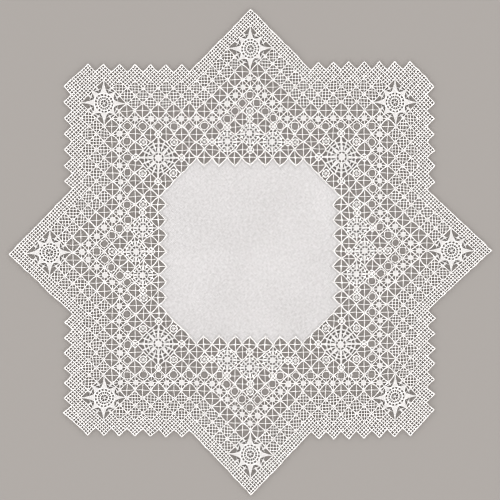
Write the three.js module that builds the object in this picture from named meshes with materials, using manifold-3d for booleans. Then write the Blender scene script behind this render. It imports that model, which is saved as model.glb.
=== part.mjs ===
// An openwork doily that lies flat: a plain linen centre with a wide needle lace border.
// The lace is worked on square cells that stand on their points. The whole cloth is laid
// out on that grid, with cell (a, b) a steps and b steps from the middle, and the finished
// group is turned by an eighth of a turn so that the cells stand on their points.

import * as THREE from "three";
import { mergeGeometries, mergeVertices } from "three/addons/utils/BufferGeometryUtils.js";
import Module from "manifold-3d";

const wasm = await Module();
wasm.setup();

// Sizes in millimetres
const CELL = 8;
const BAR_WIDTH = 1.2;
const LACE_THICKNESS = 1.4;
const LINEN_THICKNESS = 1;
const HEM_WIDTH = 1.2;
const HEM_THICKNESS = 1.3;
const SEAM_GAP = 0.3;
const PAD_RISE = 0.5;
const RING_OPENING_RADIUS = 2.6;
const DISC_RADIUS = 2.4;
const CUT_MARGIN = 1;

// Sides of the polygons that stand for square and for round outlines
const SQUARE_SIDES = 4;
const ROUND_SIDES = 8;

// Reach of the cloth, in cells from the middle
const SQUARE_REACH = 15;
const ARM_REACH = 22;
const ARM_DIAGONAL_REACH = 23;
const LINEN_REACH = 9;
const LINEN_DIAGONAL_REACH = 11;

// Fillings from the outer edge inwards: rows along the straight sides of the star's points,
// and diagonal steps along the toothed sides of its arms
const FILLING_BANDS = [
  { filling: "mesh", rows: 1, steps: 2 },
  { filling: "hatch", rows: 2, steps: 3 },
  { filling: "cross", rows: 1, steps: 1 },
  { filling: "disc", rows: 1, steps: 1 },
  { filling: "ring", rows: 1, steps: 1 },
];
const GROUND_FILLING = "cross";

// Motifs over several cells, one of each set of mirror copies: the middle in cells, and how
// many cells a side they take up
const MOTIFS = [
  { motif: "rosette", a: 13, b: 13, span: 3 },
  { motif: "rosette", a: 19, b: 0, span: 3 },
  { motif: "wheel", a: 12, b: 0, span: 3 },
  { motif: "smallWheel", a: 8.5, b: 5.5, span: 2 },
  { motif: "smallWheel", a: 7.5, b: 7.5, span: 2 },
];

// Raised star of each motif: radii in cells to its points along the cells' diagonals, to its
// points along their sides, and to the notches between
const STAR_POINTS = 8;
const STARS = {
  rosette: { diagonal: 1.95, side: 1.4, notch: 0.95 },
  wheel: { diagonal: 1.75, side: 1.3, notch: 0.75 },
  smallWheel: { diagonal: 1.1, side: 0.9, notch: 0.5 },
};

// Single cells that hold a small ring inside a square
const FRAMED_RINGS = [
  { a: 10, b: 0 },
  { a: 14, b: 0 },
  { a: 12, b: 2 },
  { a: 10, b: 4 },
  { a: 9, b: 9 },
];

// The mirror copies of a place on the grid, each once
function mirrorCopies({ a, b }) {
  const copies = new Map();
  for (const [u, v] of [[a, b], [b, a]]) {
    for (const signU of [1, -1]) {
      for (const signV of [1, -1]) {
        const place = { a: signU * u + 0, b: signV * v + 0 };
        copies.set(`${place.a},${place.b}`, place);
      }
    }
  }
  return [...copies.values()];
}

function isCloth(a, b) {
  const reach = Math.max(Math.abs(a), Math.abs(b));
  const onArm = reach <= ARM_REACH && Math.abs(a) + Math.abs(b) <= ARM_DIAGONAL_REACH;
  return reach <= SQUARE_REACH || onArm;
}

function isLinen(a, b) {
  const reach = Math.max(Math.abs(a), Math.abs(b));
  return reach <= LINEN_REACH && Math.abs(a) + Math.abs(b) <= LINEN_DIAGONAL_REACH;
}

// The band that lies this many rows or steps inside the edge
function bandAt(depth, unit) {
  let reached = 0;
  for (const [index, band] of FILLING_BANDS.entries()) {
    reached += band[unit];
    if (depth < reached) {
      return index;
    }
  }
  return FILLING_BANDS.length;
}

const motifPlaces = MOTIFS.flatMap((row) => mirrorCopies(row).map((place) => ({ ...row, ...place })));
const framedRingPlaces = FRAMED_RINGS.flatMap(mirrorCopies);

// What fills a lace cell: the motif over it, or else the deeper of the two bands that it is in
function fillingOf(a, b) {
  const motif = motifPlaces.find(
    (place) => Math.max(Math.abs(a - place.a), Math.abs(b - place.b)) < place.span / 2,
  );
  if (motif) {
    return motif.motif;
  }
  if (framedRingPlaces.some((place) => place.a === a && place.b === b)) {
    return "framedRing";
  }
  const rowBand = bandAt(SQUARE_REACH - Math.max(Math.abs(a), Math.abs(b)), "rows");
  const stepBand = bandAt(ARM_DIAGONAL_REACH - Math.abs(a) - Math.abs(b), "steps");
  const band = Math.max(rowBand, stepBand);
  return band < FILLING_BANDS.length ? FILLING_BANDS[band].filling : GROUND_FILLING;
}

// A small knotted ring covers each corner of a wheel, and with it part of the cells beside it
function besideWheelCorner(a, b) {
  return motifPlaces.some((place) => {
    const across = [Math.abs(a - place.a), Math.abs(b - place.b)].sort();
    return place.motif === "wheel" && across[0] === 1 && across[1] === 2;
  });
}

const laceCells = [];
for (let a = -ARM_REACH; a <= ARM_REACH; a += 1) {
  for (let b = -ARM_REACH; b <= ARM_REACH; b += 1) {
    if (isCloth(a, b) && !isLinen(a, b)) {
      laceCells.push({ a, b, filling: fillingOf(a, b) });
    }
  }
}

// Corners, anticlockwise and in millimetres, of the region of cells that the test accepts,
// with its sides moved outwards by a distance. Each side of a cell on the region's edge leads
// from one grid corner to the next, and a corner is kept where the walk round them turns.
function regionOutline(isInside, outwards) {
  const SIDES = [
    { from: [-0.5, -0.5], step: [1, 0], outside: [0, -1] },
    { from: [0.5, -0.5], step: [0, 1], outside: [1, 0] },
    { from: [0.5, 0.5], step: [-1, 0], outside: [0, 1] },
    { from: [-0.5, 0.5], step: [0, -1], outside: [-1, 0] },
  ];
  const sideFrom = new Map();
  for (let a = -ARM_REACH; a <= ARM_REACH; a += 1) {
    for (let b = -ARM_REACH; b <= ARM_REACH; b += 1) {
      for (const side of SIDES) {
        if (isInside(a, b) && !isInside(a + side.outside[0], b + side.outside[1])) {
          const corner = [a + side.from[0], b + side.from[1]];
          sideFrom.set(corner.join(), { ...side, corner });
        }
      }
    }
  }
  const first = sideFrom.values().next().value;
  const outline = [];
  let side = first;
  do {
    const end = [side.corner[0] + side.step[0], side.corner[1] + side.step[1]];
    const next = sideFrom.get(end.join());
    if (next.outside.join() !== side.outside.join()) {
      outline.push(
        new THREE.Vector2(
          end[0] * CELL + (side.outside[0] + next.outside[0]) * outwards,
          end[1] * CELL + (side.outside[1] + next.outside[1]) * outwards,
        ),
      );
    }
    side = next;
  } while (side !== first);
  return outline;
}

function polarPoint(radius, angle) {
  return new THREE.Vector2(radius * Math.cos(angle), radius * Math.sin(angle));
}

// A flat slab with this outline between two heights
function slab(outline, bottom, top) {
  const geometry = new THREE.ExtrudeGeometry(new THREE.Shape(outline), {
    depth: top - bottom,
    bevelEnabled: false,
  });
  return geometry.translate(0, 0, bottom);
}

// Corners of a star whose points lie along the cells' sides and diagonals by turns
function starOutline({ diagonal, side, notch }) {
  const radii = [side, notch, diagonal, notch];
  const corners = [];
  for (let i = 0; i < STAR_POINTS * 2; i += 1) {
    const angle = (Math.PI * i) / STAR_POINTS;
    corners.push(polarPoint(radii[i % radii.length] * CELL, angle));
  }
  return corners;
}

// Corners of an even polygon, with a flat side towards each side of its cell
function polygonOutline(sides, radius) {
  const corners = [];
  for (let i = 0; i < sides; i += 1) {
    corners.push(polarPoint(radius, (2 * Math.PI * (i + 0.5)) / sides));
  }
  return corners;
}

function atCell(geometry, { a, b }) {
  return geometry.translate(a * CELL, b * CELL, 0);
}

// One closed solid from closed geometries that lie apart or make up one body
function solidOf(geometries) {
  const merged = mergeGeometries(geometries);
  merged.deleteAttribute("normal");
  merged.deleteAttribute("uv");
  const welded = mergeVertices(merged);
  return new wasm.Manifold(
    new wasm.Mesh({
      numProp: 3,
      vertProperties: new Float32Array(welded.attributes.position.array),
      triVerts: new Uint32Array(welded.index.array),
    }),
  );
}

function geometryOf(solid) {
  const { vertProperties, triVerts } = solid.getMesh();
  const geometry = new THREE.BufferGeometry();
  geometry.setAttribute("position", new THREE.BufferAttribute(vertProperties, 3));
  geometry.setIndex(new THREE.BufferAttribute(triVerts, 1));
  geometry.computeVertexNormals();
  return geometry;
}

// The lace border: a flat star with the linen's place, the open cross cells and the ring
// cells cut through, and the worked discs, wheels and rosettes raised on it
function makeLaceBorder() {
  const CUT_BOTTOM = -CUT_MARGIN;
  const CUT_TOP = LACE_THICKNESS + PAD_RISE + CUT_MARGIN;
  const PAD_BOTTOM = LACE_THICKNESS / 2;
  const PAD_TOP = LACE_THICKNESS + PAD_RISE;
  const cellOpening = polygonOutline(SQUARE_SIDES, (CELL - BAR_WIDTH) / Math.SQRT2);
  const ringOpening = polygonOutline(ROUND_SIDES, RING_OPENING_RADIUS);
  const disc = polygonOutline(ROUND_SIDES, DISC_RADIUS);

  const openCells = laceCells.filter((c) => c.filling === "cross" && !besideWheelCorner(c.a, c.b));
  const ringCells = laceCells.filter((c) => c.filling === "ring");
  const discCells = laceCells.filter((c) => c.filling === "disc");

  const cellOpenings = openCells.map((cell) => atCell(slab(cellOpening, CUT_BOTTOM, CUT_TOP), cell));
  const ringOpenings = ringCells.map((cell) => atCell(slab(ringOpening, CUT_BOTTOM, CUT_TOP), cell));
  const linenPlace = slab(regionOutline(isLinen, BAR_WIDTH / -2), CUT_BOTTOM, CUT_TOP);

  const discs = discCells.map((cell) => atCell(slab(disc, PAD_BOTTOM, PAD_TOP), cell));
  const stars = motifPlaces.map((place) =>
    atCell(slab(starOutline(STARS[place.motif]), PAD_BOTTOM, PAD_TOP), place),
  );

  const sheet = solidOf([slab(regionOutline(isCloth, BAR_WIDTH / 2), 0, LACE_THICKNESS)]);
  const openings = solidOf([linenPlace, ...cellOpenings, ...ringOpenings]);
  return sheet.subtract(openings).add(solidOf([...discs, ...stars]));
}

// The linen centre: a thin panel inside the lace's inner edge, with its hem standing a little
// higher than the cloth
function makeLinenCentre() {
  const inset = -(BAR_WIDTH / 2 + SEAM_GAP);
  const panel = solidOf([slab(regionOutline(isLinen, inset), 0, HEM_THICKNESS)]);
  const field = slab(regionOutline(isLinen, inset - HEM_WIDTH), LINEN_THICKNESS, HEM_THICKNESS + CUT_MARGIN);
  return panel.subtract(solidOf([field]));
}

const laceMaterial = new THREE.MeshStandardMaterial({ color: "#f7f5f2", roughness: 0.9, metalness: 0 });
const linenMaterial = new THREE.MeshStandardMaterial({ color: "#e4e2de", roughness: 0.95, metalness: 0 });

const laceBorder = new THREE.Mesh(geometryOf(makeLaceBorder()), laceMaterial);
laceBorder.name = "lace_border";

const linenCentre = new THREE.Mesh(geometryOf(makeLinenCentre()), linenMaterial);
linenCentre.name = "linen_centre";

const doily = new THREE.Group();
doily.add(laceBorder, linenCentre);
doily.rotation.z = Math.PI / 4;

export default doily;
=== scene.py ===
"""An openwork doily laid flat on a grey table: a linen centre and a needle lace border, seen from above.

The lace is worked on square cells that stand on their points. Every thread is first laid out on that
grid, with plan places in cells and thicknesses in millimetres, and is then put on the cloth, which shifts
it a little as handwork does, turns the grid by an eighth of a turn and draws it out of square.
"""
import math

import bpy
import numpy as np
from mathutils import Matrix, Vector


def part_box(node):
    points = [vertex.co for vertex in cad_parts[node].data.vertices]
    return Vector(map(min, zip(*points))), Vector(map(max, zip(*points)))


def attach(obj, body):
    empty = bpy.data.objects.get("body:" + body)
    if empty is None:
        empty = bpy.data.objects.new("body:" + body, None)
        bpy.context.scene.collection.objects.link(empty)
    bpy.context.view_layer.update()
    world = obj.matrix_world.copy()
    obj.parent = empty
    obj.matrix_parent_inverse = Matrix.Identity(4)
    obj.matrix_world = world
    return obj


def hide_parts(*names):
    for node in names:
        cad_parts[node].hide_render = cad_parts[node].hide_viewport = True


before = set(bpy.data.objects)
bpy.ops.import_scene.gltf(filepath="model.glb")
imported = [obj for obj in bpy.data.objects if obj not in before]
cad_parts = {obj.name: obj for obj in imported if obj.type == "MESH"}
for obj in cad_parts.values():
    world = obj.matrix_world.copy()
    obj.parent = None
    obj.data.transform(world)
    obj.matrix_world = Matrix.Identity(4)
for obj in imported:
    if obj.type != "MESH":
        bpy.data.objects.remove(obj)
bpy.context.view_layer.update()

# Reach of the cloth, in cells from the middle
SQUARE_REACH = 15
ARM_REACH = 22
ARM_DIAGONAL_REACH = 23
ARM_END_REACH = 21
LINEN_REACH = 9
LINEN_DIAGONAL_REACH = 11

# Sizes in millimetres; the cell follows from the solid border's reach
MM = 0.001
BAR_WIDTH = 1.2
TIP_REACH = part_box("lace_border")[1].x / MM
CELL = (TIP_REACH / math.sqrt(2) - BAR_WIDTH / 2) / (SQUARE_REACH + 0.5)
BAR_HALF_WIDTH = 0.37
BAR_HALF_HEIGHT = 0.5
BAR_HEIGHT = 0.55
NET_BAR_HALF_WIDTH = 0.31
EDGE_HALF_WIDTH = 0.36
PAD_BASE = 0.1
PAD_HEIGHT = 1.3
KNOT_HEIGHT = PAD_HEIGHT * 0.95
KNOT_RADIUS = 0.68
NET_KNOT_RADIUS = 0.46
RINGED_KNOT_RADIUS = 0.56
THREAD_HEIGHT = 0.55
WEAVE_RISE = 0.1
MESH_HALF_WIDTH = 0.315
MESH_HALF_HEIGHT = 0.42
MESH_KNOT_RADIUS = 0.5
MESH_KNOT_HEIGHT = 1.05
HATCH_HALF_WIDTH = 0.232
HATCH_HALF_HEIGHT = 0.4
HATCH_PITCH = 2.2
CROSS_HEIGHT = 0.56
CROSS_LIFT = 0.16
CROSS_HALF_WIDTH = 0.21
CROSS_HALF_HEIGHT = 0.36
CROSSING_SWELL = 0.05
STAR_THREAD_SWELL = 0.05
STAR_SWELL = 0.26
DISC_RADIUS = 2.12
FRAMED_KNOT_RADIUS = 0.85
FRAMED_KNOT_HEIGHT = 1.1
KNOTTED_RING_HEIGHT = 0.75
KNOTTED_RING_HALF_WIDTH = 0.36
KNOTTED_RING_SWELL = 0.12
RING_HALF_HEIGHT = 0.42
LINEN_THICKNESS = 0.35
LINEN_TOP = 0.66
LINEN_WAVE = 0.05
LINEN_SWELL_A = 9
LINEN_SWELL_B = 12
LINEN_SWELL_AB = 17
HEM_INSET = 0.6
HEM_HEIGHT = 0.5
HEM_HALF_WIDTH = 0.22
HEM_HALF_HEIGHT = 0.32
NEEDLE_PITCH = CELL / 7
NEEDLE_ROW = 1.5 * NEEDLE_PITCH
WEAVE_PITCH = 1.1
MOTTLE_SIZE = 45
TONE_SIZE = 4

# Shares, counts and angles
BAR_END_SWELL = 0.28
MESH_SPACES = 4
HATCH_ROWS = 2
HATCH_WAVES = 1.5
CROSS_LIFT_REACH = 0.3
CROSSING_REACH = 0.1
STAR_REACH = 0.15
STAR_RISE = 0.15
PAD_ROUNDING = math.radians(75)
STITCH_SLANT = math.radians(25)
LINEN_FINENESS = 8
EDGE_SQUARES = 4

# Unevenness of the handwork: in millimetres, in cells, and as the least and most share of a size
NODE_SHIFT = 0.34
NET_NODE_SHIFT = 0.2
FILLING_SHIFT = 0.3
OPEN_BOW = 0.5
FILLED_BOW = 0.12
MESH_SHIFT = 0.15
MESH_LEAN = 0.2
HATCH_SHIFT_CELLS = 0.025
CROSS_BOW_CELLS = 0.02
SQUARENESS_CELLS = 0.02
BOW_SPREAD = (0.4, 1.4)
BAR_SPREAD = (0.88, 1.12)
KNOT_SPREAD = (0.85, 1.15)
DISC_SPREAD = (0.92, 1.08)
random = np.random.default_rng(7)

# How far handwork and washing have drawn the cloth out of square: millimetres at PULL_REACH from the middle
PULL_REACH = 170
SIDEWAYS_DRAW = 4.2
POINT_RELEASE = 3.9
FOUR_POINT_DRAW = 0.5
SIDE_LEAN = 1.2
THREE_POINT_LIFT = 0.8
FOUR_POINT_DROP = 1.0
FOUR_SIDE_TWIST = 1.6
RIM_LIFT = 0.3

# The finishes of the thread: worked over as bars, knots and fine threads, woven close as the spokes and
# rings of wheels, or laid close as pads and petals. The woven and padded finishes are painted greyer:
# painted shade between their close threads
WORKED = 0
WOVEN = 1
PADDED = 2

# Fillings from the outer edge inwards: rows along the straight sides of the star's points, and diagonal
# steps along the toothed sides of its arms
FILLING_BANDS = (
    {"filling": "mesh", "rows": 1, "steps": 2},
    {"filling": "hatch", "rows": 2, "steps": 3},
    {"filling": "cross", "rows": 1, "steps": 1},
    {"filling": "disc", "rows": 1, "steps": 1},
    {"filling": "ring", "rows": 1, "steps": 1},
)
GROUND_FILLING = "cross"

# Motifs over several cells, one of each set of mirror copies: middle in cells, and cells a side
MOTIFS = (
    {"motif": "rosette", "a": 13, "b": 13, "span": 3},
    {"motif": "rosette", "a": 19, "b": 0, "span": 3},
    {"motif": "wheel", "a": 12, "b": 0, "span": 3},
    {"motif": "small_wheel", "a": 8.5, "b": 5.5, "span": 2},
    {"motif": "small_wheel", "a": 7.5, "b": 7.5, "span": 2},
)
# Single cells that hold a small ring inside a square, and grid corners under a knotted ring
FRAMED_RINGS = ((10, 0), (14, 0), (12, 2), (10, 4), (9, 9))
KNOTTED_RINGS = ((10.5, 1.5), (13.5, 1.5), (8.5, 8.5), (6.5, 6.5), (9.5, 4.5), (9.5, 6.5))

# Ways out from a middle: eight all round, of which four to the sides and four to the corners, one to each
# hand of the ways to the sides, with the reach to the frame of three cells there, and finer parts of a turn
EIGHTHS = np.arange(8) * math.pi / 4
SIDES = EIGHTHS[::2]
CORNERS = EIGHTHS[1::2]
BESIDE_ANGLE = math.radians(24.5)
BESIDE_SIDES = np.concatenate([SIDES - BESIDE_ANGLE, SIDES + BESIDE_ANGLE])
BESIDE_REACH = 1.5 / math.cos(BESIDE_ANGLE)
SIXTHS = np.arange(6) * 2 * math.pi / 6
SIXTEENTHS = np.arange(16) * 2 * math.pi / 16
GOLDEN_ANGLE = math.pi * (3 - math.sqrt(5))
OCTANTS = np.array(
    [[[s, 0], [0, t]] for s in (1, -1) for t in (1, -1)]
    + [[[0, s], [t, 0]] for s in (1, -1) for t in (1, -1)],
    float,
)

# Kinds of thread in rings and spokes: steps along it, sides round it and sizes in millimetres
TIE = {"steps": 3, "sides": 6, "height": THREAD_HEIGHT, "half_heights": (0.36,), "finish": WORKED}
SPOKE = {"steps": 11, "sides": 6, "height": 0.65, "half_heights": (0.5,), "finish": WOVEN}
SHORT_SPOKE = {**SPOKE, "steps": 7}
FINE_SPOKE = {**SPOKE, "steps": 4, "half_heights": (0.45,)}
PETAL = {**SPOKE, "sides": 8, "half_heights": (0.65, 0.6, 0.5, 0.45), "finish": PADDED}
KNOT_ARM = {"steps": 5, "sides": 6, "height": 0.6, "half_heights": (0.55, 0.45, 0.4)}
SMALL_RING = {"steps": 24, "sides": 6, "height": 0.6, "half_heights": (RING_HALF_HEIGHT,), "finish": WORKED}
WHEEL_RING = {**SPOKE, "steps": 40, "squareness": 0}
ROSETTE_RING = {**WHEEL_RING, "steps": 36, "height": 0.7, "finish": WORKED}

# Rings round a middle: radius and squareness in cells, half widths in millimetres
TIED_SQUARENESS = -0.025
KNOTTED_RING_RADIUS = 0.3
OPEN_RING = {**SMALL_RING, "radius": 0.35, "half_widths": (0.26,)}
FRAMED_RING = {**SMALL_RING, "radius": 0.305, "squareness": TIED_SQUARENESS, "half_widths": (0.36,)}
MOTIF_RINGS = {
    "wheel": (
        {**WHEEL_RING, "radius": 0.535, "half_widths": (0.62,)},
        {**WHEEL_RING, "radius": 0.985, "half_widths": (0.4,)},
        {**WHEEL_RING, "radius": 1.3, "squareness": -0.02, "half_widths": (0.48,)},
    ),
    "small_wheel": ({**WHEEL_RING, "steps": 28, "radius": 0.5, "half_widths": (0.52,)},),
    "rosette": (
        {**ROSETTE_RING, "radius": 0.37, "half_widths": (0.37,)},
        {**ROSETTE_RING, "radius": 0.655, "half_widths": (0.41,)},
        {**ROSETTE_RING, "radius": 0.93, "half_widths": (0.52,)},
    ),
}

# Spokes and petals out from a middle: start and end in cells, half widths along them in millimetres
SPOKES = {
    "disc": (
        {**TIE, "steps": 4, "angles": SIDES, "start": 0.2, "end": 0.5, "half_widths": (0.25,)},
        {**TIE, "steps": 5, "angles": CORNERS, "start": 0.2, "end": 0.66, "half_widths": (0.3, 0.3, 0.42)},
    ),
    "ring": (
        {
            **TIE, "half_heights": (0.34,),
            "angles": SIDES, "start": 0.37, "end": 0.48, "half_widths": (0.25,),
        },
        {
            **TIE, "steps": 4, "half_heights": (0.3,),
            "angles": CORNERS, "start": 0.33, "end": 0.66, "half_widths": (0.2,),
        },
    ),
    "framed_ring": (
        {**TIE, "angles": SIDES, "start": 0.28, "end": 0.48, "half_widths": (0.39,)},
        {
            **TIE, "half_heights": (0.26,),
            "angles": EIGHTHS, "start": 0.05, "end": 0.27, "half_widths": (0.2,),
        },
    ),
    "wheel": (
        {**TIE, "height": 0.6, "angles": EIGHTHS, "start": 0.28, "end": 0.48, "half_widths": (0.32,)},
        {**SPOKE, "angles": SIDES, "start": 0.57, "end": 1.5, "half_widths": (1.5, 1.35, 0.95, 0.6, 0.45)},
        {
            **SPOKE, "angles": CORNERS, "start": 0.57, "end": 1.85,
            "half_widths": (1.35, 1.05, 0.8, 0.7, 0.75, 0.6),
        },
        {
            **SPOKE, "angles": BESIDE_SIDES, "start": 0.57, "end": BESIDE_REACH,
            "half_widths": (0.22, 0.4, 0.9, 0.6, 0.55, 0.5),
        },
    ),
    "small_wheel": (
        {**SHORT_SPOKE, "angles": EIGHTHS, "start": 0.25, "end": 0.47, "half_widths": (0.42,)},
        {**SHORT_SPOKE, "angles": SIDES, "start": 0.46, "end": 1.0, "half_widths": (0.8, 0.66, 0.6, 0.55)},
        {
            **SHORT_SPOKE, "angles": CORNERS, "start": 0.46, "end": 1.38,
            "half_widths": (1.25, 0.95, 0.65, 0.42, 0.35),
        },
    ),
    "rosette": (
        {**FINE_SPOKE, "angles": SIXTHS, "start": 0.08, "end": 0.33, "half_widths": (0.27,)},
        {**FINE_SPOKE, "angles": SIXTEENTHS, "start": 0.39, "end": 0.62, "half_widths": (0.36,)},
        {**FINE_SPOKE, "angles": SIXTEENTHS, "start": 0.69, "end": 0.9, "half_widths": (0.64,)},
        {**PETAL, "angles": SIDES, "start": 0.9, "end": 1.5, "half_widths": (3.0, 2.0, 1.25, 0.9, 0.6)},
        {
            **PETAL, "angles": CORNERS, "start": 0.9, "end": 2.08,
            "half_widths": (2.9, 2.2, 1.5, 1.1, 0.75, 0.5, 0.4, 0.36),
        },
    ),
}

# Hubs of the motifs: how far a middle may lie off its place and how far out it draws the threads with it,
# in cells, and the radius in millimetres with its points round and its tiers
HUBS = {
    "wheel": {"shift": 0.05, "reach": 1.6, "radius": 2.6, "around": 20, "tiers": 5},
    "small_wheel": {"shift": 0.03, "reach": 1.1, "radius": 2.3, "around": 16, "tiers": 5},
    "rosette": {"shift": 0.03, "reach": 1.6, "radius": 0.85, "around": 12, "tiers": 4},
}
# Knots where the spokes of a wheel cross its rings: how far out in cells, and the radius in millimetres
CROSSING_KNOTS = (
    {"motif": "wheel", "angles": BESIDE_SIDES, "out": 0.97, "radius": 0.9},
    {"motif": "wheel", "angles": BESIDE_SIDES, "out": 1.32, "radius": 0.95},
    {"motif": "wheel", "angles": CORNERS, "out": 1.4, "radius": 1.1},
)
# The small pointed knot in each eighth of a motif: its place in cells along the way to a side and aside
# from it, and the half widths of its arms in millimetres; then the end of each arm and its share of them
POINTED_KNOTS = {
    "small_wheel": {"along": 0.755, "aside": 0.375, "half_widths": (0.64, 0.37, 0.3), "finish": WORKED},
    "rosette": {"along": 1.21, "aside": 0.48, "half_widths": (0.7, 0.38, 0.3), "finish": WOVEN},
}
KNOT_ARMS = (
    {"motif": "small_wheel", "along": 1.0, "aside": 0.42, "share": 1.1},
    {"motif": "small_wheel", "along": 0.8, "aside": 0.06, "share": 1},
    {"motif": "small_wheel", "along": 0.68, "aside": 0.55, "share": 1},
    {"motif": "small_wheel", "along": 0.54, "aside": 0.23, "share": 0.9},
    {"motif": "rosette", "along": 1.5, "aside": 0.53, "share": 1.9},
    {"motif": "rosette", "along": 1.33, "aside": 0.08, "share": 0.9},
    {"motif": "rosette", "along": 0.95, "aside": 0.43, "share": 0.4},
    {"motif": "rosette", "along": 1.07, "aside": 0.77, "share": 0.5},
)

# Light from all round: its share at each height, which is the sine of the angle above the table
LIGHT_STOPS = (
    {"height": 0.0, "glow": 0.2},
    {"height": 0.1, "glow": 0.7},
    {"height": 0.2, "glow": 1.0},
    {"height": 0.42, "glow": 1.0},
    {"height": 0.55, "glow": 0.15},
    {"height": 1.0, "glow": 0.07},
)
LIGHT_STRENGTH = 4.5

# The table and the picture, in metres
TABLE_HALF_SIDE = 6.0
PICTURE_WIDTH = 0.36355
PICTURE_MIDDLE_RIGHT = 0.0001
PICTURE_MIDDLE_UP = 0.0008

# Sockets of a colour mix
MIX_FROM = 6
MIX_TO = 7
MIXED = 2


# Chart of the lace

def mirror_copies(a, b):
    """All places that mirror (a, b) about the cloth's four lines of symmetry, each once."""
    places = {(s * u, t * v) for u, v in ((a, b), (b, a)) for s in (1, -1) for t in (1, -1)}
    return np.array(sorted(places), float)


STEPS_OUT = np.arange(-ARM_REACH - 1, ARM_REACH + 2)
CELL_A, CELL_B = np.meshgrid(STEPS_OUT, STEPS_OUT, indexing="ij")
FAR = np.maximum(abs(CELL_A), abs(CELL_B))
DIAGONAL = abs(CELL_A) + abs(CELL_B)
IS_CLOTH = (FAR <= SQUARE_REACH) | ((FAR <= ARM_REACH) & (DIAGONAL <= ARM_DIAGONAL_REACH))
IS_LINEN = (FAR <= LINEN_REACH) & (DIAGONAL <= LINEN_DIAGONAL_REACH)
IS_LACE = IS_CLOTH & ~IS_LINEN


def chart_cells():
    """Each cell's filling and motif number: the motif over it, or else the deeper of its two bands."""
    rows = np.cumsum([band["rows"] for band in FILLING_BANDS])
    steps = np.cumsum([band["steps"] for band in FILLING_BANDS])
    row_band = np.searchsorted(rows, SQUARE_REACH - FAR, side="right")
    step_band = np.searchsorted(steps, ARM_DIAGONAL_REACH - DIAGONAL, side="right")
    names = np.array([band["filling"] for band in FILLING_BANDS] + [GROUND_FILLING], dtype="U12")
    filling = names[np.maximum(row_band, step_band)]
    filling[FAR >= ARM_END_REACH] = "mesh"
    filling[(DIAGONAL == LINEN_DIAGONAL_REACH + 1) & (filling == GROUND_FILLING)] = "star_cross"
    for a, b in np.concatenate([mirror_copies(*place) for place in FRAMED_RINGS]):
        filling[(CELL_A == a) & (CELL_B == b)] = "framed_ring"
    number = np.zeros(filling.shape, int)
    for motif in MOTIFS:
        for a, b in mirror_copies(motif["a"], motif["b"]):
            inside = np.maximum(abs(CELL_A - a), abs(CELL_B - b)) < motif["span"] / 2
            filling[inside] = motif["motif"]
            number[inside] = number.max() + 1
    filling[~IS_LACE] = "none"
    return filling, number


FILLING, MOTIF_NUMBER = chart_cells()


def cells_with(filling):
    """Middles of the cells with this filling, as (cells, 2)."""
    return np.argwhere(FILLING == filling) + STEPS_OUT[0].astype(float)


def motif_middles(name):
    """Middles of all copies of a motif, as (copies, 2)."""
    return np.concatenate([mirror_copies(m["a"], m["b"]) for m in MOTIFS if m["motif"] == name])


def cells_round_corners(values):
    """What the four cells round each grid corner hold, as (4, corners, corners)."""
    around = (slice(None, -1), slice(1, None))
    return np.stack([values[s, t] for s in around for t in around])


# Laying threads on the cloth

def node_shifts():
    """How many millimetres each grid corner lies off its place: less where the tight net holds it."""
    netted = (cells_round_corners(FILLING) == "mesh").any(axis=0)
    size = np.where(netted, NET_NODE_SHIFT, NODE_SHIFT)
    return random.normal(0, 1, (*netted.shape, 2)) * size[..., None]


NODE_SHIFTS = node_shifts()


def cloth_pull(flat):
    """How many millimetres each place on the table is drawn to the right and up. To the right: in towards
    the middle line in proportion to x, out again with the cube of x, and four waves round that grow with
    the fourth power of the reach. Up: with the cube of x and the square of the reach, less three waves
    round that grow with its cube and four waves, upright and turned, that grow with its fourth power."""
    x, y = flat.T / PULL_REACH
    reach = np.hypot(x, y)
    turn = np.arctan2(y, x)
    four_waves = reach**4 * np.cos(4 * turn)
    right = POINT_RELEASE * x**3 - SIDEWAYS_DRAW * x + FOUR_POINT_DRAW * four_waves
    up = SIDE_LEAN * x**3 + RIM_LIFT * reach**2 - THREE_POINT_LIFT * reach**3 * np.sin(3 * turn)
    up -= FOUR_POINT_DROP * four_waves + FOUR_SIDE_TWIST * reach**4 * np.sin(4 * turn)
    return np.stack([right, up], axis=1)


def on_cloth(points):
    """Grid points in millimetres as places on the table in metres: each is shifted by the four grid
    corners round it, in proportion to how near they are, the grid is turned by an eighth, and the pull of
    the cloth is added."""
    place = points[:, :2] / CELL - (STEPS_OUT[0] + 0.5)
    corner = np.clip(np.floor(place).astype(int), 0, len(STEPS_OUT) - 3)
    share = np.clip(place - corner, 0, 1)
    i, j = corner.T
    u, v = share.T[..., None]
    shift = (
        NODE_SHIFTS[i, j] * (1 - u) * (1 - v)
        + NODE_SHIFTS[i + 1, j] * u * (1 - v)
        + NODE_SHIFTS[i, j + 1] * (1 - u) * v
        + NODE_SHIFTS[i + 1, j + 1] * u * v
    )
    a, b = (points[:, :2] + shift).T
    flat = np.stack([a - b, a + b], axis=1) / math.sqrt(2)
    flat += cloth_pull(flat)
    return np.column_stack([flat, points[:, 2]]) * MM


def spread(values, steps):
    """Values spaced evenly along a path, read off straight between them at each step."""
    return np.interp(np.linspace(0, 1, steps), np.linspace(0, 1, len(values)), values)


def tube_faces(count, rings, sides, closed=False):
    """Corner numbers of the faces of many tubes, whose points run round one ring after another: four-sided
    faces between the rings, and a face at each end of a tube that isn't closed on itself."""
    spans = rings if closed else rings - 1
    tube, ring, side = np.meshgrid(np.arange(count), np.arange(spans), np.arange(sides), indexing="ij")

    def corner(rings_on, sides_on):
        return (tube * rings + (ring + rings_on) % rings) * sides + (side + sides_on) % sides

    quads = np.stack([corner(0, 0), corner(0, 1), corner(1, 1), corner(1, 0)], axis=3).reshape(-1, 4)
    if closed:
        return [quads]
    start = (np.arange(count) * rings * sides)[:, None]
    return [quads, start + np.arange(sides)[::-1], start + (rings - 1) * sides + np.arange(sides)]


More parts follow.
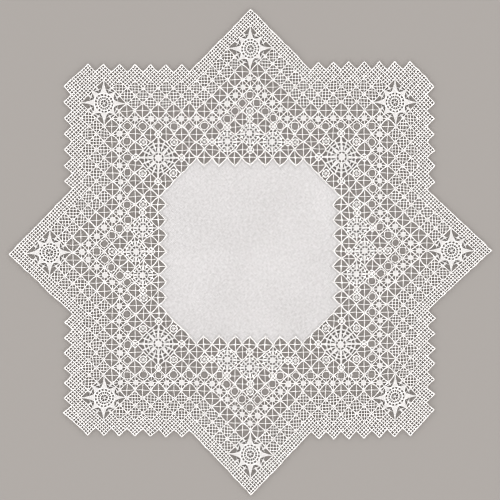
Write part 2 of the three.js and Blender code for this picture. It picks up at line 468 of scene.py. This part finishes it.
def strands(plan, height, half_width, half_height, sides=6, closed=False, finish=WORKED):
    """Cords carried along many paths at once: at each step an oval stands square to its path, half_width
    to each side and half_height up and down. plan is (paths, steps, 2) in cells; the rest in millimetres
    may vary by path and step. The stitch map runs along the cord and round it, in millimetres."""
    count, steps = plan.shape[:2]
    flat = plan * CELL
    middle = np.concatenate([flat, np.broadcast_to(height, (count, steps))[..., None]], axis=2)
    if closed:
        along = np.roll(flat, -1, axis=1) - np.roll(flat, 1, axis=1)
    else:
        along = np.gradient(flat, axis=1)
    along /= np.linalg.norm(along, axis=2, keepdims=True)
    across = np.stack([-along[..., 1], along[..., 0], np.zeros((count, steps))], axis=2)
    turn = 2 * math.pi * np.arange(sides) / sides - math.pi / 2
    half_width = np.broadcast_to(half_width, (count, steps))
    half_height = np.broadcast_to(half_height, (count, steps))
    aside = (half_width[..., None] * np.cos(turn))[..., None]
    points = middle[:, :, None, :] + across[:, :, None, :] * aside
    points[..., 2] += half_height[..., None] * np.sin(turn)

    lengths = np.linalg.norm(np.diff(flat, axis=1, append=flat[:, :1]), axis=2)
    reached = np.concatenate([np.zeros((count, 1)), np.cumsum(lengths, axis=1)], axis=1)
    girth_step = math.pi * (half_width + half_height).mean() / sides
    spans = steps if closed else steps - 1
    start, end, low = np.broadcast_arrays(
        reached[:, :spans, None],
        reached[:, 1:spans + 1, None],
        np.arange(sides) * girth_step,
    )
    high = low + girth_step
    stitch = np.stack([start, low, start, high, end, high, end, low], axis=3).reshape(-1, 4, 2)
    quads, *end_faces = tube_faces(count, steps, sides, closed)
    faces = [(quads, stitch)] + [(group, np.zeros((*group.shape, 2))) for group in end_faces]
    return points.reshape(-1, 3), faces, finish


def pads(middles, radius, crown, around=12, tiers=4, finish=PADDED):
    """Pads with a flat crown and a round rim: circles stacked from the rim inwards. A share s of the way,
    with t as s times PAD_ROUNDING, the circle's radius is radius times the root of the cosine of t, and
    its height is crown times the root of the sine of t. middles is (pads, 2) in cells; radius and crown
    are millimetres, for all pads or for each. The stitch map is the plan in millimetres, turned by another
    angle for each pad."""
    count = len(middles)
    radius = np.broadcast_to(radius, count)[:, None, None]
    crown = np.broadcast_to(crown, count)[:, None, None]
    rise = np.linspace(0, PAD_ROUNDING, tiers)[None, :, None]
    turn = (2 * math.pi * np.arange(around) / around)[None, None, :]
    reach = radius * np.sqrt(np.cos(rise))
    x = middles[:, 0, None, None] * CELL + reach * np.cos(turn)
    y = middles[:, 1, None, None] * CELL + reach * np.sin(turn)
    z = PAD_BASE + crown * np.sqrt(np.sin(rise)) + np.zeros_like(x)
    points = np.stack([x, y, z], axis=3).reshape(-1, 3)
    lean = np.repeat(np.arange(count) * GOLDEN_ANGLE, tiers * around)
    stitch = np.stack(
        [
            points[:, 0] * np.cos(lean) - points[:, 1] * np.sin(lean),
            points[:, 0] * np.sin(lean) + points[:, 1] * np.cos(lean),
        ],
        axis=1,
    )
    return points, [(group, stitch[group]) for group in tube_faces(count, tiers, around)], finish


def make_mesh(name, points, faces):
    """A mesh from points and from face groups, each of corner numbers and their stitch map places."""
    corners = np.concatenate([group.ravel() for group, _ in faces])
    sizes = np.concatenate([np.full(len(group), group.shape[1]) for group, _ in faces])
    stitch = np.concatenate([places.reshape(-1, 2) for _, places in faces])
    mesh = bpy.data.meshes.new(name)
    mesh.vertices.add(len(points))
    mesh.vertices.foreach_set("co", points.astype(np.float32).ravel())
    mesh.loops.add(len(corners))
    mesh.loops.foreach_set("vertex_index", corners.astype(np.int32))
    mesh.polygons.add(len(sizes))
    mesh.polygons.foreach_set("loop_start", np.concatenate([[0], np.cumsum(sizes)[:-1]]).astype(np.int32))
    mesh.polygons.foreach_set("use_smooth", np.ones(len(sizes), bool))
    mesh.uv_layers.new(name="stitch").data.foreach_set("uv", stitch.astype(np.float32).ravel())
    mesh.update(calc_edges=True)
    mesh.validate()
    return mesh


def add_piece(name, mesh):
    """An object with this mesh that rides on the cloth."""
    piece = bpy.data.objects.new(name, mesh)
    bpy.context.scene.collection.objects.link(piece)
    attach(piece, "root")
    return piece


def make_piece(name, shells, materials):
    """One object from strands and pads, put on the cloth. The materials are in the order of the finishes."""
    points = []
    faces = []
    finishes = []
    used = 0
    for shell_points, shell_faces, finish in shells:
        points.append(shell_points)
        faces += [(group + used, places) for group, places in shell_faces]
        finishes += [np.full(len(group), finish) for group, _ in shell_faces]
        used += len(shell_points)
    mesh = make_mesh(name, on_cloth(np.concatenate(points)), faces)
    for material in materials:
        mesh.materials.append(material)
    mesh.polygons.foreach_set("material_index", np.concatenate(finishes).astype(np.int32))
    return add_piece(name, mesh)


# Paths in plan, in cells

def line_paths(starts, ends, steps):
    """Straight paths from each start to each end."""
    share = np.linspace(0, 1, steps)[None, :, None]
    return starts[:, None, :] * (1 - share) + ends[:, None, :] * share


def ring_paths(middles, radius, steps, squareness):
    """Closed paths round each middle: the radius grows by squareness times the cosine of four turns."""
    turn = 2 * math.pi * np.arange(steps) / steps
    reach = np.broadcast_to(radius + squareness * np.cos(4 * turn), (len(middles), steps))
    return middles[:, None, :] + np.stack([reach * np.cos(turn), reach * np.sin(turn)], axis=2)


def spoke_paths(middles, angles, start, end, steps):
    """Straight paths out from each middle at each angle, from radius start to radius end."""
    way = np.stack([np.cos(angles), np.sin(angles)], axis=1)
    near = (middles[:, None, :] + way * start).reshape(-1, 2)
    far = (middles[:, None, :] + way * end).reshape(-1, 2)
    return line_paths(near, far, steps)


def octant_paths(middles, start, end, steps):
    """One short straight path in each eighth of a motif, mirrored from the first eighth."""
    starts = (middles[:, None, :] + OCTANTS @ np.array(start)).reshape(-1, 2)
    ends = (middles[:, None, :] + OCTANTS @ np.array(end)).reshape(-1, 2)
    return line_paths(starts, ends, steps)


def row_paths(row, middles):
    """Paths by one row of the tables, round each middle for a ring or else out from it for spokes."""
    if "radius" in row:
        return ring_paths(middles, row["radius"], row["steps"], row["squareness"])
    return spoke_paths(middles, row["angles"], row["start"], row["end"], row["steps"])


def row_strands(row, plan):
    """Strands along such paths, with the sizes and the finish that the row gives."""
    half_width = spread(row["half_widths"], row["steps"])
    half_height = spread(row["half_heights"], row["steps"])
    closed = "radius" in row
    return strands(plan, row["height"], half_width, half_height, row["sides"], closed, row["finish"])


# The lace ground

def bars_along(axis):
    """Worked bars on the grid's lines in one direction: one between each two grid corners beside a lace
    cell, unless a motif covers both its sides. Each bows sideways by a half wave, out of an open cell into
    a filled one or the linen, and is thicker towards its ends."""
    masks = (IS_CLOTH, IS_LACE, MOTIF_NUMBER, FILLING)
    cloth, lace, number, filling = (mask.T if axis else mask for mask in masks)
    in_motif = (number[:, :-1] == number[:, 1:]) & (number[:, 1:] > 0)
    i, j = np.nonzero((lace[:, :-1] | lace[:, 1:]) & ~in_motif)
    netted = np.isin(filling[i, j], ("mesh", "hatch")) | np.isin(filling[i, j + 1], ("mesh", "hatch"))
    outer = cloth[i, j] != cloth[i, j + 1]
    by_linen = (lace[i, j] != lace[i, j + 1]) & ~outer
    share = np.linspace(-0.5, 0.5, 7)
    is_open = np.isin(filling, ("cross", "star_cross"))
    before, after = is_open[i, j], is_open[i, j + 1]
    way = np.where(before == after, random.choice((-1, 1), len(i)), np.where(before, 1, -1))
    size = np.where(before | after, OPEN_BOW, FILLED_BOW) * random.uniform(*BOW_SPREAD, len(i))
    bow = way * size / CELL
    along = STEPS_OUT[i][:, None] + share
    line = STEPS_OUT[j][:, None] + 0.5 + bow[:, None] * np.cos(math.pi * share)
    plan = np.stack([line, along] if axis else [along, line], axis=2)
    half_width = np.where(netted | by_linen, NET_BAR_HALF_WIDTH, BAR_HALF_WIDTH)
    half_width = np.where(outer, EDGE_HALF_WIDTH, half_width) * random.uniform(*BAR_SPREAD, len(i))
    half_width = half_width[:, None] * (1 - BAR_END_SWELL * np.cos(2 * math.pi * share))
    return strands(plan, BAR_HEIGHT, half_width, BAR_HALF_HEIGHT, sides=8)


def ringed_corners():
    """The grid corners that have a small ring round them, as (corners, 2)."""
    return np.concatenate([mirror_copies(*place) for place in KNOTTED_RINGS])


def grid_knots():
    """Knots on the grid's corners, apart from those that a motif covers."""
    numbers = cells_round_corners(MOTIF_NUMBER)
    inside = (numbers.min(axis=0) == numbers.max(axis=0)) & (numbers[0] > 0)
    netted = np.isin(cells_round_corners(FILLING), ("mesh", "hatch", "none")).all(axis=0)
    places = cells_round_corners(IS_LACE).any(axis=0) & ~inside
    middles = np.argwhere(places) + STEPS_OUT[0] + 0.5
    ringed = (middles[:, None, :] == ringed_corners()).all(axis=2).any(axis=1)
    radius = np.where(netted[places], NET_KNOT_RADIUS, np.where(ringed, RINGED_KNOT_RADIUS, KNOT_RADIUS))
    radius = radius * random.uniform(*KNOT_SPREAD, len(middles))
    return pads(middles, radius, KNOT_HEIGHT, around=8, tiers=3, finish=WOVEN)


def border_mesh():
    """Fine net of the outer cells: three threads each way, which pass over and under each other, with a
    small knot where they cross."""
    middles = cells_with("mesh")
    share = np.linspace(-0.5, 0.5, 9)
    shells = []
    for axis in (0, 1):
        for row in (-1, 0, 1):
            shift = row / MESH_SPACES + random.normal(0, MESH_SHIFT / CELL, (len(middles), 1))
            shift = shift + random.normal(0, MESH_LEAN / CELL, (len(middles), 1)) * share
            plan = np.stack([middles[:, :1] + share, middles[:, 1:] + shift], axis=2)
            if axis:
                plan = np.stack([middles[:, :1] + shift, middles[:, 1:] + share], axis=2)
            weave = WEAVE_RISE * np.cos(MESH_SPACES * math.pi * share + math.pi * row) * (1 - 2 * axis)
            shells.append(strands(plan, THREAD_HEIGHT + weave, MESH_HALF_WIDTH, MESH_HALF_HEIGHT))
    crossings = np.array([(u, v) for u in (-1, 0, 1) for v in (-1, 0, 1)]) / MESH_SPACES
    knots = (middles[:, None, :] + crossings).reshape(-1, 2)
    shells.append(pads(knots, MESH_KNOT_RADIUS, MESH_KNOT_HEIGHT, around=6, tiers=2, finish=WOVEN))
    return shells


def hatched_net():
    """Net of the cells inside the border: five threads along each diagonal of the cell, which end at the
    cell's sides. A thread at distance d from the diagonal is half a diagonal less d to each side."""
    middles = cells_with("hatch")
    half_diagonal = math.sqrt(0.5)
    steps = 5
    waves = np.linspace(-HATCH_WAVES, HATCH_WAVES, steps) * math.pi
    shells = []
    for lean in (1, -1):
        way = np.array([1, lean]) * half_diagonal
        side = np.array([-lean, 1]) * half_diagonal
        for row in range(-HATCH_ROWS, HATCH_ROWS + 1):
            ends = []
            for end in (-1, 1):
                offset = row * HATCH_PITCH / CELL + random.normal(0, HATCH_SHIFT_CELLS, (len(middles), 1))
                ends.append(middles + way * end * (half_diagonal - abs(offset)) + side * offset)
            weave = WEAVE_RISE * np.cos(waves + math.pi * row) * lean
            plan = line_paths(*ends, steps)
            shells.append(strands(plan, THREAD_HEIGHT + weave, HATCH_HALF_WIDTH, HATCH_HALF_HEIGHT))
    return shells


def hump(share, reach):
    """A bell curve along a path: e to the power of minus the square of share over reach."""
    return np.exp(-((share / reach) ** 2))


def cross_threads():
    """Two thin threads from corner to corner of each open cell, one over the other. Beside the linen the
    crossing is worked into a small pointed star, so the threads swell towards it."""
    steps = 11
    share = np.linspace(-1, 1, steps)
    swell = STAR_SWELL * hump(share, STAR_REACH)
    half_wave = np.cos(share * math.pi / 2)[None, :, None]
    shells = []
    for filling, star in (("cross", 0), ("star_cross", 1)):
        middles = cells_with(filling)
        half_width = CROSS_HALF_WIDTH + star * (STAR_THREAD_SWELL + swell)
        half_width = half_width + CROSSING_SWELL * hump(share, CROSSING_REACH)
        half_height = CROSS_HALF_HEIGHT + STAR_RISE * star * swell
        for lean in (1, -1):
            reach = np.array([0.5, 0.5 * lean])
            plan = line_paths(middles - reach, middles + reach, steps)
            bow = random.normal(0, CROSS_BOW_CELLS, (len(middles), 1, 1)) * half_wave
            plan = plan + bow * np.array([-lean, 1])
            height = CROSS_HEIGHT + CROSS_LIFT * lean * hump(share, CROSS_LIFT_REACH)
            shells.append(strands(plan, height, half_width, half_height))
    return shells


# The fillings of single cells

def off_middle(middles):
    """The middles of single fillings, each a little off its place."""
    return middles + random.normal(0, FILLING_SHIFT / CELL, middles.shape)


def spokes_of(name, middles):
    """All spokes of a filling, in the table's order."""
    return [row_strands(row, row_paths(row, middles)) for row in SPOKES[name]]


def disc_cells():
    """Woven discs, each hung in its cell by four short spokes to the sides and four to the corners."""
    middles = cells_with("disc")
    radius = DISC_RADIUS * random.uniform(*DISC_SPREAD, len(middles))
    discs = pads(off_middle(middles), radius, PAD_HEIGHT, around=16, tiers=5)
    return [discs, *spokes_of("disc", middles)]


def ring_cells():
    """Open rings, round or a little square, each tied to the cell's sides and corners."""
    middles = cells_with("ring")
    ring = {**OPEN_RING, "squareness": random.normal(0, SQUARENESS_CELLS, (len(middles), 1))}
    return [row_strands(ring, row_paths(ring, off_middle(middles))), *spokes_of("ring", middles)]


def framed_rings():
    """A small ring inside the cell, tied to the bars at mid-side, with a knotted wheel in its middle."""
    middles = cells_with("framed_ring")
    rings = row_strands(FRAMED_RING, row_paths(FRAMED_RING, middles))
    knots = pads(middles, FRAMED_KNOT_RADIUS, FRAMED_KNOT_HEIGHT, around=8, tiers=3, finish=WOVEN)
    return [rings, *spokes_of("framed_ring", middles), knots]


def knotted_rings():
    """Small rings round some grid corners, tied across by the bars and thicker between them: the half width
    falls by KNOTTED_RING_SWELL times the cosine of four turns."""
    steps = SMALL_RING["steps"]
    plan = ring_paths(ringed_corners(), KNOTTED_RING_RADIUS, steps, TIED_SQUARENESS)
    at_bars = np.cos(8 * math.pi * np.arange(steps) / steps)
    half_width = KNOTTED_RING_HALF_WIDTH - KNOTTED_RING_SWELL * at_bars
    return [strands(plan, KNOTTED_RING_HEIGHT, half_width, RING_HALF_HEIGHT, closed=True)]


# The motifs over several cells

def off_centre(plan, middles, shift, reach):
    """Paths drawn aside with their motif's middle: by the whole shift there and by none at its frame."""
    per_motif = plan.reshape(len(middles), -1, *plan.shape[1:])
    away = per_motif - middles[:, None, None, :]
    share = np.clip(1 - np.linalg.norm(away, axis=3, keepdims=True) / reach, 0, 1)
    return (per_motif + shift[:, None, None, :] * share).reshape(plan.shape)


def motif_copies(name):
    """All copies of a motif, by its rows in the tables. A wheel is a hub in rings, with tapering spokes to
    the sides and corners and knots where thinner spokes cross the rings. A small wheel has one ring, and a
    rosette has a close woven middle, four petals to the sides and four long ones to the corners. Both have
    a pointed knot in each eighth, from which four arms taper to what they tie."""
    middles = motif_middles(name)
    hub = HUBS[name]
    shift = random.normal(0, hub["shift"], (len(middles), 2))
    shift = np.clip(shift, -2 * hub["shift"], 2 * hub["shift"])

    def drawn(plan):
        return off_centre(plan, middles, shift, hub["reach"])

    shells = [pads(middles + shift, hub["radius"], PAD_HEIGHT, hub["around"], hub["tiers"])]
    shells += [row_strands(row, drawn(row_paths(row, middles))) for row in MOTIF_RINGS[name]]
    for knot in CROSSING_KNOTS:
        if knot["motif"] == name:
            crossings = spoke_paths(middles, knot["angles"], knot["out"], knot["out"], 1)
            places = drawn(crossings).reshape(-1, 2)
            shells.append(pads(places, knot["radius"], KNOT_HEIGHT, around=8, tiers=3, finish=WOVEN))
    shells += [row_strands(row, drawn(row_paths(row, middles))) for row in SPOKES[name]]
    for arm in KNOT_ARMS:
        if arm["motif"] == name:
            knot = POINTED_KNOTS[name]
            half_widths = np.array(knot["half_widths"]) * [1, arm["share"], arm["share"]]
            row = {**KNOT_ARM, "half_widths": half_widths, "finish": knot["finish"]}
            ends = [(end["along"], end["aside"]) for end in (knot, arm)]
            shells.append(row_strands(row, drawn(octant_paths(middles, *ends, row["steps"]))))
    return shells


# The linen centre

def linen_inward(mask):
    """Which way is inward at each corner of a grid of squares: the sum of the ways to the squares that are
    cloth, one step at most along each axis, and none inside the cloth or away from it."""
    filled = np.pad(mask, 1).astype(int)
    way_a = filled[1:, :-1] + filled[1:, 1:] - filled[:-1, :-1] - filled[:-1, 1:]
    way_b = filled[:-1, 1:] + filled[1:, 1:] - filled[:-1, :-1] - filled[1:, :-1]
    return np.stack([np.sign(way_a), np.sign(way_b)], axis=2)


def edge_distance(mask):
    """How many millimetres each corner of the linen's net lies inside its edge, up to EDGE_SQUARES squares:
    a corner gains one square for each ring of squares round it that is all cloth."""
    size = mask.shape[0] + 1
    rings = []
    for reach in range(1, EDGE_SQUARES + 1):
        filled = np.pad(mask, reach)
        shifts = range(2 * reach)
        rings.append(np.all([filled[i:i + size, j:j + size] for i in shifts for j in shifts], axis=0))
    return np.sum(rings, axis=0) * CELL / LINEN_FINENESS


def linen_panel(material):
    """The linen: a flat net of small squares over the linen's cells, its edge drawn inwards from the lace
    by HEM_INSET, with low soft sine waves along both ways of the grid and across them. An attribute holds
    how far each point lies from the edge."""
    cells = np.abs(STEPS_OUT) <= LINEN_REACH
    squares = np.ones((LINEN_FINENESS, LINEN_FINENESS), int)
    mask = np.kron(IS_LINEN[np.ix_(cells, cells)], squares).astype(bool)
    size = mask.shape[0] + 1
    line = (np.arange(size) / LINEN_FINENESS - LINEN_REACH - 0.5) * CELL
    a, b = np.meshgrid(line, line, indexing="ij")
    inward = linen_inward(mask) * HEM_INSET
    waves = np.sin(a / LINEN_SWELL_A + 1) + np.sin(b / LINEN_SWELL_B + 2) + np.sin((a + b) / LINEN_SWELL_AB)
    height = LINEN_TOP + LINEN_WAVE * waves
    points = np.stack([a + inward[..., 0], b + inward[..., 1], height], axis=2)
    i, j = np.nonzero(mask)
    quads = np.stack([i * size + j, (i + 1) * size + j, (i + 1) * size + j + 1, i * size + j + 1], axis=1)
    used, renumbered = np.unique(quads, return_inverse=True)
    points = points.reshape(-1, 3)[used]
    quads = renumbered.reshape(-1, 4)
    mesh = make_mesh("linen_panel", on_cloth(points), [(quads, points[quads][..., :2])])
    mesh.materials.append(material)
    edge = mesh.attributes.new("edge", "FLOAT", "POINT")
    edge.data.foreach_set("value", edge_distance(mask).ravel()[used].astype(np.float32))
    piece = add_piece("linen_panel", mesh)
    body = piece.modifiers.new("cloth_thickness", "SOLIDIFY")
    body.thickness = LINEN_THICKNESS * MM
    body.offset = -1
    return piece


def linen_hem():
    """Whipped hem: a cord just inside each step of the linen's edge."""
    way = linen_inward(IS_LINEN)[1:-1, 1:-1] * HEM_INSET / CELL
    shells = []
    for axis in (0, 1):
        mask = IS_LINEN.T if axis else IS_LINEN
        i, j = np.nonzero(mask[:, :-1] != mask[:, 1:])
        starts = np.stack([j, i - 1] if axis else [i - 1, j], axis=1)
        ends = np.stack([j, i] if axis else [i, j], axis=1)
        corners = [at + STEPS_OUT[0] + 0.5 + way[at[:, 0], at[:, 1]] for at in (starts, ends)]
        shells.append(
            strands(line_paths(*corners, 6), HEM_HEIGHT, HEM_HALF_WIDTH, HEM_HALF_HEIGHT, finish=WOVEN)
        )
    return shells


# Materials

def linear(code):
    """An sRGB hex colour as linear RGBA."""
    part = np.array([int(code[k:k + 2], 16) for k in (1, 3, 5)]) / 255
    light = np.where(part <= 0.04045, part / 12.92, ((part + 0.055) / 1.055) ** 2.4)
    return (*light.tolist(), 1.0)


def add_node(tree, kind, settings, links=None):
    """A shader node with its settings, by property or by input, and links into its inputs. Inputs go by
    name, or by number where names repeat."""
    node = tree.nodes.new("ShaderNode" + kind)
    for name, value in settings.items():
        if isinstance(name, int) or name in node.inputs:
            node.inputs[name].default_value = value
        else:
            setattr(node, name, value)
    for name, output in (links or {}).items():
        tree.links.new(output, node.inputs[name])
    return node


def new_material(name, roughness, sheen):
    """A cloth material with its constant values set, its node tree and its shader."""
    material = bpy.data.materials.new(name)
    material.use_nodes = True
    shader = material.node_tree.nodes["Principled BSDF"]
    shader.inputs["Roughness"].default_value = roughness
    shader.inputs["IOR"].default_value = 1.53
    shader.inputs["Specular IOR Level"].default_value = 0.25
    shader.inputs["Sheen Weight"].default_value = sheen
    shader.inputs["Sheen Roughness"].default_value = 0.5
    return material, material.node_tree, shader


def wave_scale(pitch):
    """Scale of a wave texture whose ridges lie this far apart: it takes 20 radians for each unit."""
    return 2 * math.pi / (20 * pitch)


def bleached_thread(name, stitch, painted_furrow_shade, ridge):
    """Bleached linen thread, matte and warm white. Its slanting stitches lie this many millimetres apart, and
    the colour is darker in their furrows: painted shade. Close work is given greyer colours, painted shade
    for the shade between its close stitches. The tone drifts softly from place to place."""
    material, tree, shader = new_material(name, roughness=0.85, sheen=0.1)
    place = add_node(tree, "UVMap", {"uv_map": "stitch"})
    slant = add_node(tree, "Mapping", {"Rotation": (0, 0, STITCH_SLANT)}, {"Vector": place.outputs["UV"]})
    ridges = add_node(
        tree,
        "TexWave",
        {"Scale": wave_scale(stitch), "Distortion": 1.5, "Detail": 1.0, "Detail Scale": 1.0},
        {"Vector": slant.outputs["Vector"]},
    )
    bump = add_node(tree, "Bump", {"Strength": 0.6, "Distance": 0.12 * MM}, {"Height": ridges.outputs["Fac"]})
    where = add_node(tree, "TexCoord", {})
    tone = add_node(
        tree,
        "TexNoise",
        {"Scale": 1 / (TONE_SIZE * MM), "Detail": 3.0, "Roughness": 0.6},
        {"Vector": where.outputs["Object"]},
    )
    # Mix of stitch ridges and tone: painted shade in the stitch furrows, plus tone that drifts at random
    shade = add_node(
        tree,
        "Mix",
        {"data_type": "FLOAT", "Factor": 0.5},
        {"A": ridges.outputs["Fac"], "B": tone.outputs["Fac"]},
    )
    colour = add_node(
        tree,
        "Mix",
        {"data_type": "RGBA", MIX_FROM: linear(painted_furrow_shade), MIX_TO: linear(ridge)},
        {"Factor": shade.outputs[0]},
    )
    tree.links.new(colour.outputs[MIXED], shader.inputs["Base Color"])
    tree.links.new(bump.outputs["Normal"], shader.inputs["Normal"])
    return material


def woven_linen():
    """Plain woven linen, lightly bleached: matte pale grey, with threads along the lace's grid. Real
    threads lie about 0.5 mm apart, too fine to show here, so the weave is drawn at WEAVE_PITCH. Thicker
    slubs run along single threads, the tone is mottled and drifts over the cloth, and a row of needle
    holes follows the hem, painted as dark dots: painted shade in the holes."""
    material, tree, shader = new_material("plain_woven_linen", roughness=0.9, sheen=0.1)
    place = add_node(tree, "UVMap", {"uv_map": "stitch"})
    waves = {}
    slubs = {}
    for way, (bands, stretch) in enumerate((("X", (1, 0.4, 1)), ("Y", (0.4, 1, 1)))):
        wave = add_node(
            tree,
            "TexWave",
            {"bands_direction": bands, "Scale": wave_scale(WEAVE_PITCH), "Distortion": 0.6},
            {"Vector": place.outputs["UV"]},
        )
        drawn = add_node(tree, "Mapping", {"Scale": stretch}, {"Vector": place.outputs["UV"]})
        noise = add_node(tree, "TexNoise", {"Scale": 1.0, "Detail": 2.0}, {"Vector": drawn.outputs["Vector"]})
        waves[way] = wave.outputs["Fac"]
        slubs[way] = noise.outputs["Fac"]
    weave = add_node(tree, "Math", {"operation": "MULTIPLY"}, waves)
    slub = add_node(tree, "Math", {"operation": "ADD"}, slubs)
    height = add_node(tree, "Math", {"operation": "ADD"}, {0: weave.outputs[0], 1: slub.outputs[0]})
    bump = add_node(tree, "Bump", {"Strength": 0.5, "Distance": 0.15 * MM}, {"Height": height.outputs[0]})
    mottle = add_node(
        tree,
        "TexNoise",
        {"Scale": 1 / MOTTLE_SIZE, "Detail": 3.0, "Roughness": 0.5},
        {"Vector": place.outputs["UV"]},
    )
    tone = add_node(
        tree,
        "Math",
        {"operation": "MULTIPLY_ADD", 1: 2.0},
        {0: slub.outputs[0], 2: mottle.outputs["Fac"]},
    )
    blend = add_node(tree, "MapRange", {"From Min": 1.85, "From Max": 3.15}, {"Value": tone.outputs[0]})
    colour = add_node(
        tree,
        "Mix",
        {"data_type": "RGBA", MIX_FROM: linear("#B5B2B1"), MIX_TO: linear("#CFCCCC")},
        {"Factor": blend.outputs["Result"]},
    )
    # Painted shade: the linen's colour is darkened to a grey at the needle holes
    needle_hole_shade = add_node(
        tree,
        "Mix",
        {"data_type": "RGBA", MIX_TO: linear("#85817E")},
        {"Factor": needle_holes(tree, place), MIX_FROM: colour.outputs[MIXED]},
    )
    tree.links.new(needle_hole_shade.outputs[MIXED], shader.inputs["Base Color"])
    tree.links.new(bump.outputs["Normal"], shader.inputs["Normal"])
    return material


def needle_holes(tree, place):
    """Where the needle holes of the hem are: the product of the cosines along both grid directions, one
    hole for each NEEDLE_PITCH, kept to a narrow band NEEDLE_ROW inside the edge. The linen is painted
    dark there, painted shade in the holes."""
    sides = add_node(tree, "SeparateXYZ", {}, {"Vector": place.outputs["UV"]})
    waves = {}
    for way, side in enumerate("XY"):
        turn = add_node(
            tree,
            "Math",
            {"operation": "MULTIPLY", 1: 2 * math.pi / NEEDLE_PITCH},
            {0: sides.outputs[side]},
        )
        wave = add_node(tree, "Math", {"operation": "COSINE"}, {0: turn.outputs[0]})
        waves[way] = wave.outputs[0]
    holes = add_node(tree, "Math", {"operation": "MULTIPLY"}, waves)
    edge = add_node(tree, "Attribute", {"attribute_name": "edge"})
    off_row = add_node(tree, "Math", {"operation": "SUBTRACT", 1: NEEDLE_ROW}, {0: edge.outputs["Fac"]})
    off_row_size = add_node(tree, "Math", {"operation": "ABSOLUTE"}, {0: off_row.outputs[0]})
    band = add_node(
        tree,
        "MapRange",
        {"From Min": 0.25, "From Max": 0.55, "To Min": 1.0, "To Max": 0.0},
        {"Value": off_row_size.outputs[0]},
    )
    row = add_node(
        tree,
        "Math",
        {"operation": "MULTIPLY", "use_clamp": True},
        {0: holes.outputs[0], 1: band.outputs["Result"]},
    )
    return row.outputs[0]


# Every thread is painted darker in its stitch furrows, painted shade; the close woven and close padded
# threads are painted greyer still, painted shade between their close stitches
threads = [
    bleached_thread("bleached_linen_thread", stitch=0.6, painted_furrow_shade="#E4E0DD", ridge="#FFFCFA"),
    bleached_thread("close_woven_thread_painted_shade", stitch=0.8, painted_furrow_shade="#C6C3C1", ridge="#E3E0DE"),
    bleached_thread("close_padded_thread_painted_shade", stitch=0.8, painted_furrow_shade="#C3C0BE", ridge="#DFDCDA"),
]
linen = woven_linen()
lace_pieces = [
    make_piece(name, shells, threads)
    for name, shells in (
        ("bars_one_way", [bars_along(0)]),
        ("bars_other_way", [bars_along(1)]),
        ("grid_knots", [grid_knots()]),
        ("border_mesh", border_mesh()),
        ("hatched_net", hatched_net()),
        ("cross_threads", cross_threads()),
        ("disc_cells", disc_cells()),
        ("ring_cells", ring_cells()),
        ("framed_rings", framed_rings()),
        ("knotted_rings", knotted_rings()),
        ("wheels", motif_copies("wheel")),
        ("small_wheels", motif_copies("small_wheel")),
        ("rosettes", motif_copies("rosette")),
    )
]
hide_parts("lace_border")
panel = linen_panel(linen)
hem = make_piece("linen_hem", linen_hem(), threads)
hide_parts("linen_centre")


# The table, light and camera

def table_top():
    """A plain grey table top, a flat square much larger than the doily."""
    half = TABLE_HALF_SIDE
    corners = [(-half, -half, 0), (half, -half, 0), (half, half, 0), (-half, half, 0)]
    mesh = bpy.data.meshes.new("table_top")
    mesh.from_pydata(corners, [], [(0, 1, 2, 3)])
    material = bpy.data.materials.new("matte_grey_board")
    material.use_nodes = True
    shader = material.node_tree.nodes["Principled BSDF"]
    shader.inputs["Base Color"].default_value = linear("#98938F")
    shader.inputs["Roughness"].default_value = 0.95
    shader.inputs["Specular IOR Level"].default_value = 0.1
    mesh.materials.append(material)
    top = bpy.data.objects.new("table_top", mesh)
    bpy.context.scene.collection.objects.link(top)


def soft_light():
    """Soft white light from a ring of panels all round, about 10 to 25 degrees above the table, with weaker
    light from straight above and from the horizon."""
    world = bpy.data.worlds.new("ring_of_soft_panels")
    world.use_nodes = True
    tree = world.node_tree
    way = add_node(tree, "TexCoord", {})
    part = add_node(tree, "SeparateXYZ", {}, {"Vector": way.outputs["Generated"]})
    ring = add_node(tree, "ValToRGB", {}, {"Fac": part.outputs["Z"]})
    stops = ring.color_ramp.elements
    for stop in LIGHT_STOPS[1:-1]:
        stops.new(stop["height"])
    for element, stop in zip(stops, LIGHT_STOPS):
        element.position = stop["height"]
        element.color = (stop["glow"], stop["glow"], stop["glow"], 1)
    tree.links.new(ring.outputs["Color"], tree.nodes["Background"].inputs["Color"])
    tree.nodes["Background"].inputs["Strength"].default_value = LIGHT_STRENGTH
    bpy.context.scene.world = world


def camera_above():
    """A long lens straight above, as high as it has to be to show PICTURE_WIDTH of the table."""
    data = bpy.data.cameras.new("camera")
    data.lens = 120
    data.sensor_width = 36
    camera = bpy.data.objects.new("camera", data)
    height = PICTURE_WIDTH * data.lens / data.sensor_width
    camera.location = (PICTURE_MIDDLE_RIGHT, PICTURE_MIDDLE_UP, height)
    bpy.context.scene.collection.objects.link(camera)
    bpy.context.scene.camera = camera


table_top()
soft_light()
camera_above()
bpy.context.scene.view_settings.view_transform = "Standard"
# Most threads are about a pixel wide, so the picture is kept crisp
bpy.context.scene.cycles.filter_width = 1.25
